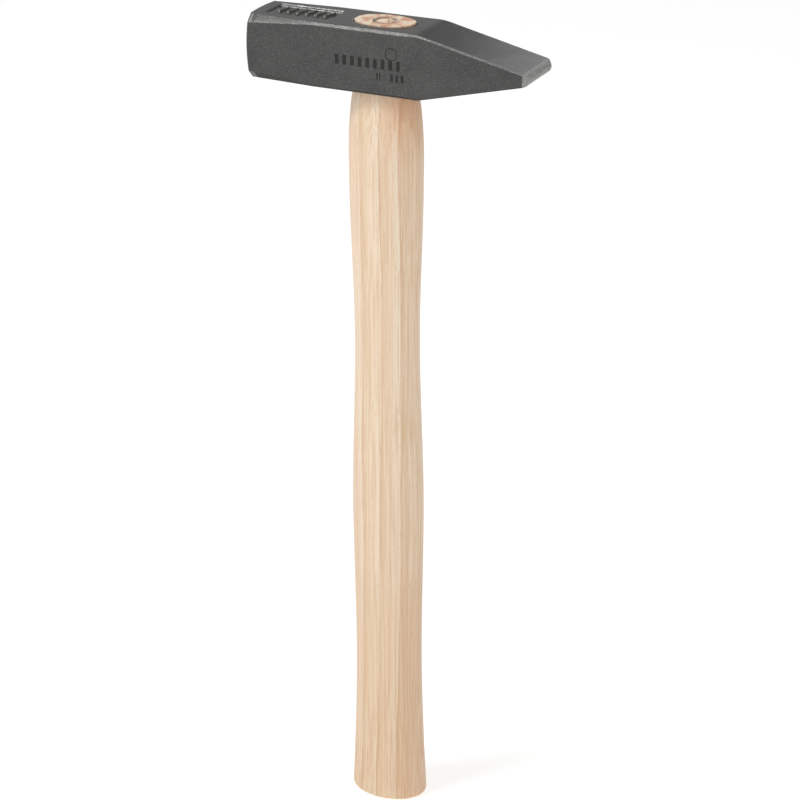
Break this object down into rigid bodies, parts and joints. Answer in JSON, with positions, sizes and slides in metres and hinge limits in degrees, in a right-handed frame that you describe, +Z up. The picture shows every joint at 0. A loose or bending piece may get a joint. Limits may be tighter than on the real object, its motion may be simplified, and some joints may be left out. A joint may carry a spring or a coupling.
{
  "type": "cross peen hammer",
  "caption": "Cross peen hammer: forged head with square crowned face and wedge-shaped peen, on an oval ash handle held by a ring wedge.",
  "frame": {"origin": "middle of the flat end of the butt, on the handle's axis", "axes": "+Z up the handle towards the head, +X along the head towards the peen, -X towards the striking face, Y across the hammer"},
  "size_m": [0.105, 0.0226, 0.3],
  "materials": {
    "head_lacquer": "satin dark grey lacquer over forged steel, nose of the peen ground bare",
    "ash_wood": "smooth pale ash with straight grain, thin clear finish",
    "wedge_steel": "plain dull steel"
  },
  "bodies": {
    "root": {"hammer_head": "head_lacquer", "handle": "ash_wood", "ring_wedge": "wedge_steel"}
  },
  "joints": []
}
